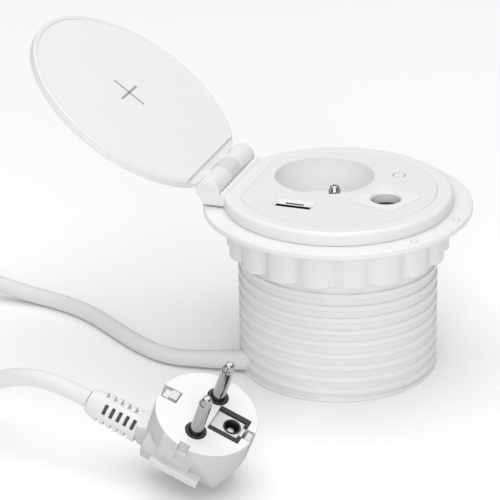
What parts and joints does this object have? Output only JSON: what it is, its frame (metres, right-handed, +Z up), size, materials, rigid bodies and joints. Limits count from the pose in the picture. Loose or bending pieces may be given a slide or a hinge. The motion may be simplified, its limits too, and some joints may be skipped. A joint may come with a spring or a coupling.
{
  "type": "desk grommet socket",
  "caption": "Round desk grommet power socket with a hinged wireless-charging lid, charging port, cable outlet, clamping nut and a mains lead with an angled plug.",
  "frame": {"origin": "centre of the base's underside, on the surface the part stands on", "axes": "+Z up along the threaded barrel, +Y from the barrel's axis towards the lid's hinge, +X along the hinge axis"},
  "size_m": [0.19, 0.2945, 0.1299],
  "materials": {
    "white_gloss": "smooth white moulding with a soft gloss",
    "white_satin": "smooth satin white moulding",
    "white_textured": "white with a fine spark-eroded texture",
    "white_cord": "soft white jacket, satin",
    "black_plastic": "black insulating plastic",
    "nickel": "bright nickel plate",
    "steel": "zinc plated steel",
    "brass": "plain brass",
    "copper": "enamelled copper wire",
    "wire_brown": "brown insulated wire",
    "wire_blue": "blue insulated wire",
    "wire_green_yellow": "green and yellow insulated wire",
    "board": "green circuit board",
    "ferrite": "dark sintered ferrite"
  },
  "bodies": {
    "housing": {"threaded_barrel": "white_gloss", "top_bezel": "white_gloss", "usb_body": "white_gloss", "plug_body": "white_gloss", "cable_outlet": "white_gloss", "socket_cup": "white_satin", "bottom_cover": "white_satin", "cord_clamp": "white_satin", "contact_carrier": "white_satin", "socket_panel": "white_textured", "cord_gland": "white_cord", "cord_tail": "white_cord", "plug_strain_relief": "white_cord", "cord_upper": "white_cord", "cord_lower": "white_cord", "cord_coil": "white_cord", "usb_tongue": "black_plastic", "button_switch": "black_plastic", "pin_collar_1": "black_plastic", "pin_collar_2": "black_plastic", "capacitor": "black_plastic", "earth_pin": "nickel", "usb_shell": "nickel", "plug_pin_1": "nickel", "plug_pin_2": "nickel", "earth_sleeve": "nickel", "earth_clip_1": "nickel", "earth_clip_2": "nickel", "cover_screw_1": "steel", "cover_screw_2": "steel", "cover_screw_3": "steel", "clamp_screw_1": "steel", "clamp_screw_2": "steel", "hinge_pin": "steel", "button_spring": "steel", "shutter_spring": "steel", "contact_live": "brass", "contact_neutral": "brass", "live_wire": "wire_brown", "neutral_wire": "wire_blue", "earth_wire": "wire_green_yellow", "power_board": "board", "transformer": "ferrite"},
    "lid": {"lid_shell": "white_gloss", "lid_face": "white_satin", "charging_coil": "copper", "ferrite_sheet": "ferrite", "lid_board": "board"},
    "button": {"power_button": "white_gloss"},
    "shutter": {"shutter": "white_satin"},
    "washer": {"nut_washer": "white_cord"},
    "nut": {"clamping_nut": "white_gloss"}
  },
  "joints": [
    {"name": "lid_hinge", "type": "hinge", "parent": "housing", "child": "lid", "pos_m": [0, 0.0466, 0.0751], "axis": [-1, 0, 0], "range_deg": [-144.4, 35.6]},
    {"name": "button_press", "type": "slide", "parent": "housing", "child": "button", "axis": [0, 0, -1], "range_m": [0, 0.0009], "stiffness_N_per_m": 300, "springref_m": -0.002, "deforming": ["button_spring"]},
    {"name": "shutter_slide", "type": "slide", "parent": "housing", "child": "shutter", "axis": [0.76, 0.65, 0], "range_m": [0, 0.004], "stiffness_N_per_m": 60, "springref_m": -0.003, "deforming": ["shutter_spring"]},
    {"name": "nut_travel", "type": "slide", "parent": "housing", "child": "washer", "axis": [0, 0, -1], "range_m": [0, 0.038]},
    {"name": "nut_spin", "type": "hinge", "parent": "washer", "child": "nut", "pos_m": [0, 0, 0.0572], "axis": [0, 0, 1], "range_deg": [0, 2700]}
  ],
  "couplings": [
    {"joint": "nut_travel", "follows": "nut_spin", "m_per_rad": 0.00080532}
  ]
}
